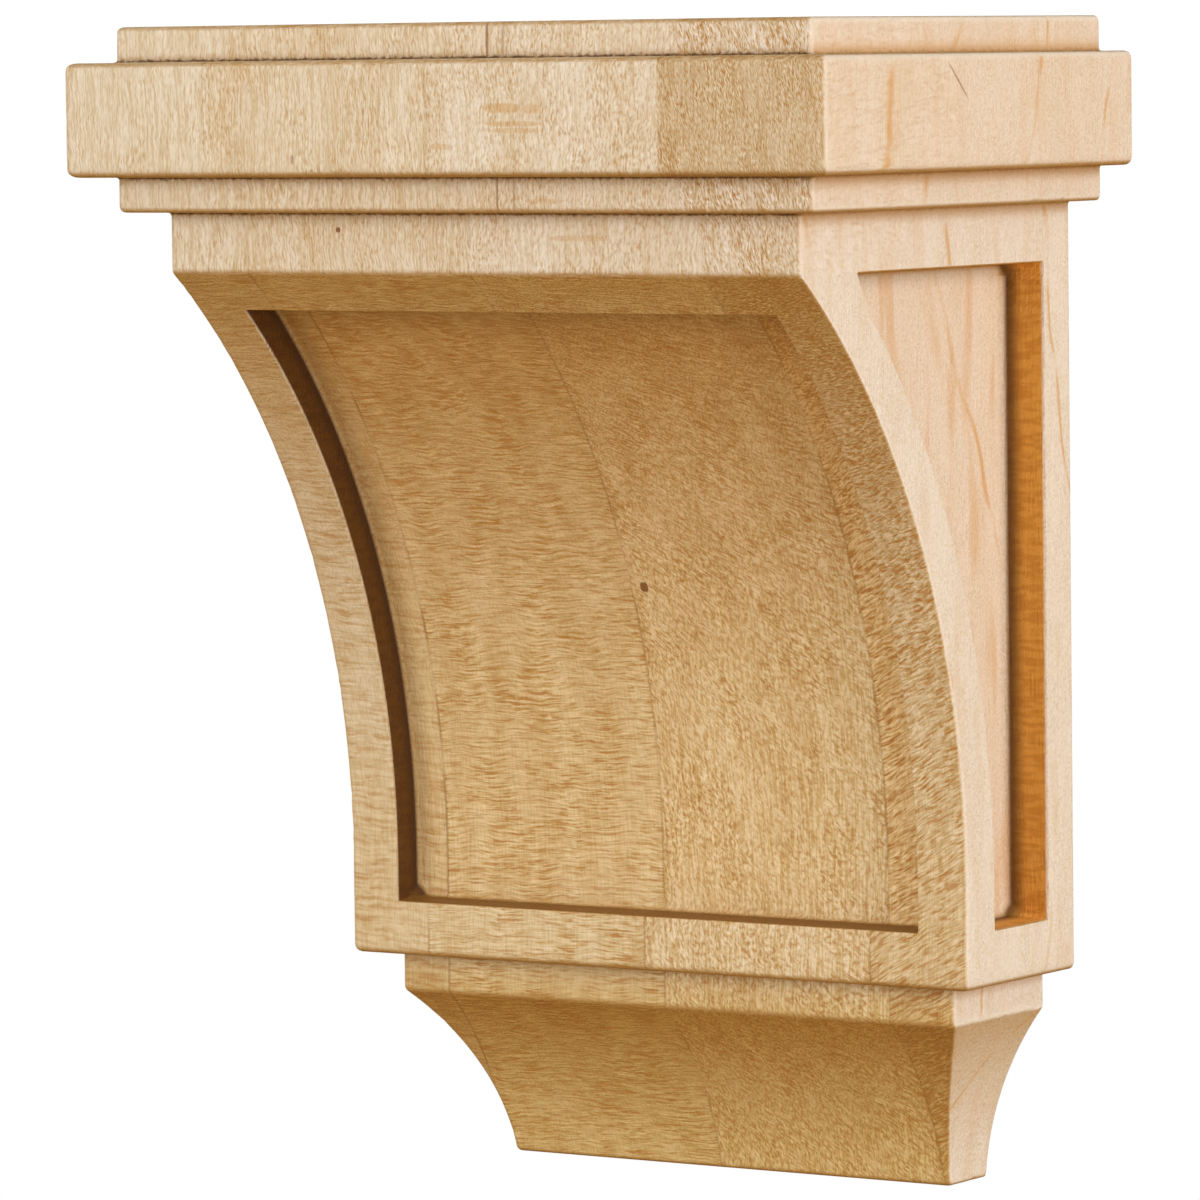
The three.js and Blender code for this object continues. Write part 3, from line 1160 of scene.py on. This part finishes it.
    def ground(self) -> Socket:
        """Lays the ground colour by region: cap, low front, sunk front, sides, and faces across the grain.

        Returns:
            The wood's ground colour.
        """
        finish = self.finish
        bands = self.noise(self.scaled(self.place, finish.band), 1)
        colour = self.mix(self.ramp(bands, 0.3, 0.7, 0.1, 0.8), finish.pale, finish.warm)
        colour = self.times(self.ramp(self.z, *finish.low_span), colour, finish.low)
        # painted shade: the foot darker and more golden, as under the rail
        colour = self.times(self.ramp(self.z, *finish.foot_span), colour, finish.foot)
        # painted shade of the recess: the sunk front darker and more golden than its frame
        panel = self.times(self.ramp(bands, 0.35, 0.7, 0.0, 0.4), finish.panel, finish.golden)
        colour = self.mix(self.ramp(self.sunk, 0.2, 0.9, 0.0, 0.85), colour, panel)
        colour = self.times(1.0, colour, self.point(*self.pick([board.tint for board in self.boards])))
        lower, upper = finish.slab
        slab = self.math("COMPARE", self.z, (lower + upper) / 2, (upper - lower) / 2)
        slab = self.product(slab, self.past[2], self.in_cap)
        colour = self.times(self.product(slab, 0.66), colour, finish.golden)
        # painted light: the last board's sunk strip paler, against the shade of the wall beside it
        strip = self.product(self.past[2], self.ramp(self.sunk, 0.8, 1.0))
        colour = self.times(strip, colour, finish.painted_light)
        cheek = self.times(self.ramp(bands, 0.35, 0.7, 0.0, 0.14), finish.cheek, finish.golden)
        on_cap = self.ramp(self.z, *finish.cap_span)
        # painted shade: the sunk side panel takes the cap's darker tint
        cheek_tint = self.strongest(on_cap, self.ramp(self.sunk, 0.6, 1.0, 0.0, 0.75))
        cheek = self.times(cheek_tint, cheek, finish.cap_cheek)
        colour = self.mix(self.ramp(self.side, 0.3, 0.9, 0.0, 0.96), colour, cheek)
        colour = self.times(self.ramp(self.up, 0.1, 1.0), colour, finish.across)
        # painted shade: faces that look down are laid darker and more orange
        return self.times(self.ramp(self.down, 0.1, 1.0), colour, finish.painted_under_shade)

    def figured(self, colour: Socket) -> Socket:
        """Lays fibres and rays over the ground: golden where the noise is high, brown at the rays' hearts,
        with a painted highlight between them.

        Args:
            colour: the wood so far.

        Returns:
            The wood with its figure.
        """
        finish = self.finish
        strength = self.product(self.fleck, self.ramp(self.broken, 0.35, 0.65, 0.6, 1.15))
        strength = self.thinned(strength, 0.14)
        golden = self.product(self.ramp(self.rays, 0.36, 0.64, 0.0, 0.85), strength)
        heart = self.product(self.ramp(self.rays, 0.56, 0.68, 0.0, 0.62), strength)
        # painted highlight: paler wood where the rays are low, as if their relief caught the light
        light = self.product(self.ramp(self.rays, 0.3, 0.45, 0.6, 0.0), strength)
        fibre = self.thinned(self.ramp(self.fibre, 0.44, 0.62, 0.0, 0.62), 0.3)
        fibre = self.product(fibre, self.streak)
        speckle = self.product(self.ramp(self.rough, 0.42, 0.64, 0.0, 0.22), self.side)
        colour = self.times(self.math("ADD", fibre, speckle), colour, finish.golden)
        colour = self.times(golden, colour, finish.golden)
        colour = self.times(light, colour, finish.painted_light)
        return self.mix(heart, colour, finish.ray)

    def ringed(self, colour: Socket) -> Socket:
        """Draws the growth rings: lines at even steps of distance from a far heart, drifting with noise.

        Args:
            colour: the wood so far.

        Returns:
            The wood with its ring lines, and with the sides' golden flames.
        """
        finish = self.finish
        out_x = self.math("SUBTRACT", self.math("ABSOLUTE", self.x), finish.ring_heart[0])
        out_y = self.math("SUBTRACT", self.y, finish.ring_heart[1])
        far = self.math("SUBTRACT", self.length(out_x, out_y), self.radius)
        far = self.math("MULTIPLY_ADD", far, self.side, self.radius)
        drift = self.math("MULTIPLY_ADD", self.broken, 0.07, self.centred(finish.drift, 1, 0.8))
        turns = self.math("MULTIPLY_ADD", far, 1.0 / finish.ring_width, drift)
        for height, rate in finish.ring_bends:
            bend = self.math("MULTIPLY_ADD", self.z, rate, -rate * height, clamp=True)
            turns = self.math("SUBTRACT", turns, bend)
        within = self.math("FRACT", turns)
        line = self.product(self.ramp(within, 0.93, 0.97), self.ramp(within, 0.97, 1.0, 1.0, 0.0))
        line = self.product(line, self.ramp(self.broken, 0.38, 0.6, 0.15, 0.8))
        flames = self.noise(self.scaled(self.place, finish.flame), 1, 0.7)
        flame = self.ramp(flames, 0.5, 0.7, 0.0, 0.42)
        glow = self.product(flame, self.ramp(self.sunk, 0.5, 1.0, 0.35, 1.0))
        shown = self.ramp(self.math("ADD", self.side, self.up), 0.2, 0.9, 0.1, 1.0)
        late = self.product(self.strongest(line, glow), shown)
        return self.mix(late, colour, finish.line)

    def spots(self, marks: tuple[Mark, ...], across: Socket) -> Socket:
        """Joins marks into one mask: each is full at its middle and fades at its oval's edge.

        Args:
            marks: the marks, all on one face.
            across: each place's distance across that face.

        Returns:
            How strongly a mark shows at each place.
        """
        shown = []
        for mark in marks:
            middle = mark.centre[0] + mark.slant * mark.centre[1]
            slid = self.math("MULTIPLY_ADD", self.z, mark.slant, across) if mark.slant else across
            first = self.math("MULTIPLY_ADD", slid, 1.0 / mark.half[0], -middle / mark.half[0])
            second = self.math("MULTIPLY_ADD", self.z, 1.0 / mark.half[1], -mark.centre[1] / mark.half[1])
            first = self.product(first, first)
            away = self.math("MULTIPLY_ADD", first, first, self.product(second, second))
            shown.append(self.ramp(away, 0.5, 1.4, mark.depth, 0.0))
        return self.strongest(*shown)

    def marked(self, colour: Socket) -> Socket:
        """Adds glue lines, thin and broken, then the ray bars and the single marks.

        Args:
            colour: the wood so far.

        Returns:
            The wood with its marks.
        """
        finish = self.finish
        gaps = [self.math("ABSOLUTE", self.math("SUBTRACT", self.x, plane)) for plane in finish.glue_planes]
        lines = [self.ramp(gap, 0.08, 0.4, depth, 0.0) for gap, depth in zip(gaps, finish.glue_depths)]
        glue = self.product(self.strongest(*lines), self.ramp(self.broken, 0.35, 0.65, 0.25, 1.0))
        glue = self.product(glue, self.math("MULTIPLY_ADD", self.in_cap, -0.8, 1.0))
        colour = self.mix(self.thinned(glue, 0.35), colour, finish.glue)
        bars = self.product(self.spots(finish.bars, self.x), self.ramp(self.fibre, 0.3, 0.6, 1.0, 0.5))
        colour = self.mix(self.product(bars, self.front), colour, finish.bar)
        on_front = tuple(mark for mark in finish.marks if mark.face is Face.FRONT)
        on_side = tuple(mark for mark in finish.marks if mark.face is Face.SIDE)
        front = self.product(self.spots(on_front, self.x), self.front)
        side = self.product(self.spots(on_side, self.y), self.side, self.past[2])
        return self.mix(self.strongest(front, side), colour, finish.knot)

    def edged(self, colour: Socket) -> Socket:
        """Paints shade into inner corners, over their torn grain, and lines the edges: brown on the front,
        and a painted highlight on the sides.

        Args:
            colour: the wood so far.

        Returns:
            The wood with its edges.
        """
        finish = self.finish
        nook, arris = self.mask("nook"), self.mask("arris")
        # partly torn grain and partly painted shade: golden brown, then a dark ragged bite, in inner
        # corners
        ragged = self.math("MULTIPLY_ADD", self.rough, 1.2, nook)
        browned = self.thinned(self.ramp(ragged, 0.5, 2.3, 0.6, 0.0), 0.6)
        colour = self.mix(browned, colour, finish.gold)
        bite = self.thinned(self.ramp(ragged, 0.5, 1.3, 0.9, 0.0), 0.85)
        colour = self.mix(bite, colour, finish.dark)
        # painted shade: golden brown beside the sides' inner corners
        stain = self.product(self.ramp(nook, 0.0, 3.0, 0.6, 0.0), self.side)
        colour = self.mix(stain, colour, finish.line)
        edge = self.math("MULTIPLY_ADD", self.rough, 0.8, arris)
        turned = self.ramp(self.down, 0.05, 0.6)
        warm = self.product(self.ramp(edge, 0.3, 1.4, 0.65, 0.0), self.strongest(self.front, turned))
        colour = self.mix(warm, colour, finish.gold)
        # painted highlight: a pale line along the sides' outer edges
        lit = self.math("SUBTRACT", self.side, turned)
        painted_highlight = self.product(self.ramp(arris, 0.1, 1.3, 0.6, 0.0), lit)
        return self.mix(painted_highlight, colour, finish.painted_highlight)

    def walled(self, colour: Socket) -> Socket:
        """Colours the walls of the sunk panels, partly burnish and partly painted shade, darker towards the
        floor and paler on a ledge that looks up, and paints shade along the floor's edge.

        Args:
            colour: the wood so far.

        Returns:
            The wood with its panels' walls.
        """
        finish = self.finish
        wall = self.product(self.ramp(self.sunk, 0.03, 0.1), self.ramp(self.sunk, 0.86, 0.99, 1.0, 0.0))
        # partly burnish and partly painted shade: dark brown walls on the front, deep orange on the sides
        shade = self.mix(self.side, finish.front_wall_burnish_and_shade, finish.side_wall_burnish_and_shade)
        bars = self.noise(self.scaled(self.place, finish.wall_bar), 1, 0.8)
        shade = self.times(self.ramp(bars, 0.38, 0.62, 0.0, 0.75), shade, finish.golden)
        # painted shade: the walls darker towards the floor
        shade = self.mix(self.ramp(self.sunk, 0.45, 0.86, 0.0, 0.85), shade, finish.dark)
        # painted light: a ledge that looks up is paler
        ledge = self.product(self.ramp(self.up, 0.4, 1.0, 0.0, 0.55), self.front)
        shade = self.mix(ledge, shade, finish.gold)
        colour = self.mix(wall, colour, shade)
        # painted shade along the floor's edge
        floor_edge = self.ramp(self.mask("inside"), 0.8, 2.4, 0.18, 0.0)
        corner = self.product(floor_edge, self.ramp(self.sunk, 0.9, 0.99))
        return self.mix(corner, colour, finish.gold)

    def relief(self) -> Socket:
        """The height that the light catches: fibres stand up and rays sink."""
        fibres = self.product(self.fibre, self.finish.fibre_height)
        return self.math("MULTIPLY_ADD", self.rays, -1.0, fibres)


@dataclass(frozen=True)
class Lamp:
    """A soft square lamp.

    Attributes:
        name: what it is for.
        place: where it stands, in metres.
        size: length of its side, in metres.
        power: its strength in watts.
    """

    name: str
    place: tuple[float, float, float]
    size: float
    power: float

    def hang(self) -> None:
        """Puts the lamp in the scene, turned to the corbel."""
        data = bpy.data.lights.new(self.name, "AREA")
        data.size = self.size
        data.energy = self.power
        lamp = bpy.data.objects.new(self.name, data)
        lamp.location = self.place
        lamp.rotation_mode = "QUATERNION"
        lamp.rotation_quaternion = (-Vector(self.place)).to_track_quat("-Z", "Y")
        bpy.context.scene.collection.objects.link(lamp)


@dataclass
class Studio:
    """A plain bright studio: pale floor, even surround, soft lamps and the camera.

    Attributes:
        floor_level, floor_half: the floor's height and half its width, in metres.
        floor_colour: the warm light that the floor throws back up.
        surround, white: the surround's strength as light, and as the camera sees it.
        lamps: the lamps.
        camera_place: where the camera stands, in metres.
        yaw, pitch, roll: how it is turned, in radians.
        lens, sensor: its focal length and the width of its picture, in millimetres.
        sight: how far it sees, in metres.
    """

    floor_level: float = -0.30
    floor_half: float = 200.0
    floor_colour: Colour = (0.42, 0.31, 0.18, 1.0)
    surround: float = 0.45
    white: float = 1.05
    lamps: tuple[Lamp, ...] = (
        Lamp("right_lamp", (1.55, -0.25, 0.2), 1.1, 18.0),
        Lamp("front_lamp", (-0.5, -1.85, 0.2), 1.4, 26.0),
    )
    camera_place: tuple[float, float, float] = (0.70247, -1.12936, 0.09581)
    yaw: float = math.radians(33.117)
    pitch: float = math.radians(-4.161)
    roll: float = math.radians(-0.711)
    lens: float = 224.7
    sensor: float = 36.0
    sight: float = 500.0

    def light(self) -> None:
        """Lights the scene: an even surround that shows white behind the corbel, and the lamps."""
        world = bpy.data.worlds.new("bright_surround")
        bpy.context.scene.world = world
        world.use_nodes = True
        world.node_tree.nodes.clear()
        graph = Graph(world.node_tree)
        seen = graph.node("ShaderNodeLightPath").outputs["Is Camera Ray"]
        strength = graph.math("MULTIPLY_ADD", seen, self.white - self.surround, self.surround)
        background = graph.node("ShaderNodeBackground")
        graph.feed(background.inputs["Strength"], strength)
        background.inputs["Color"].default_value = (1.0, 1.0, 1.0, 1.0)
        graph.feed(graph.node("ShaderNodeOutputWorld").inputs["Surface"], background.outputs[0])
        for lamp in self.lamps:
            lamp.hang()
        bpy.context.scene.view_settings.view_transform = "Standard"

    def lay_floor(self) -> None:
        """Lays a plain pale floor below the corbel."""
        reach = self.floor_half
        corners = [(-reach, -reach), (reach, -reach), (reach, reach), (-reach, reach)]
        mesh = bpy.data.meshes.new("floor")
        mesh.from_pydata([(x, y, self.floor_level) for x, y in corners], [], [(0, 1, 2, 3)])
        pale = bpy.data.materials.new("pale_floor")
        pale.use_nodes = True
        pale.node_tree.nodes.clear()
        graph = Graph(pale.node_tree)
        shown = graph.node("ShaderNodeEmission")
        clear = graph.node("ShaderNodeBsdfTransparent")
        warm = graph.node("ShaderNodeBsdfDiffuse")
        warm.inputs["Color"].default_value = self.floor_colour
        below = graph.node("ShaderNodeNewGeometry").outputs["Backfacing"]
        seen = graph.node("ShaderNodeLightPath").outputs["Is Camera Ray"]
        plain = graph.choose(below, shown.outputs[0], clear.outputs[0])
        chosen = graph.choose(seen, warm.outputs[0], plain)
        graph.feed(graph.node("ShaderNodeOutputMaterial").inputs["Surface"], chosen)
        mesh.materials.append(pale)
        floor = bpy.data.objects.new("floor", mesh)
        bpy.context.scene.collection.objects.link(floor)

    def place_camera(self) -> None:
        """Stands the camera where the photograph was taken from: turned by yaw, pitch and roll."""
        flat = math.cos(self.pitch)
        forward = Vector((-math.sin(self.yaw) * flat, math.cos(self.yaw) * flat, math.sin(self.pitch)))
        level = Vector((math.cos(self.yaw), math.sin(self.yaw), 0.0))
        upright = level.cross(forward)
        right = math.cos(self.roll) * level + math.sin(self.roll) * upright
        up = math.cos(self.roll) * upright - math.sin(self.roll) * level
        data = bpy.data.cameras.new("camera")
        data.lens = self.lens
        data.sensor_width = self.sensor
        data.clip_end = self.sight
        camera = bpy.data.objects.new("camera", data)
        turn = Matrix((right, up, -forward)).transposed().to_4x4()
        camera.matrix_world = Matrix.Translation(self.camera_place) @ turn
        bpy.context.scene.collection.objects.link(camera)
        bpy.context.scene.camera = camera


def main() -> None:
    """Builds the corbel, its wood and the studio, and reports the piece."""
    logging.basicConfig(level=logging.INFO, format="%(name)s: %(message)s")
    low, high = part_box("corbel")
    size = (high - low) / MM
    corbel = Corbel(height=size.z, cap_width=size.x, cap_reach=size.y)
    piece = corbel.build()
    corbel.dress(piece, Maple())
    LOG.info("%s: %d faces", piece.name, len(piece.data.polygons))
    studio = Studio()
    studio.lay_floor()
    studio.light()
    studio.place_camera()


if __name__ == "__main__":
    main()
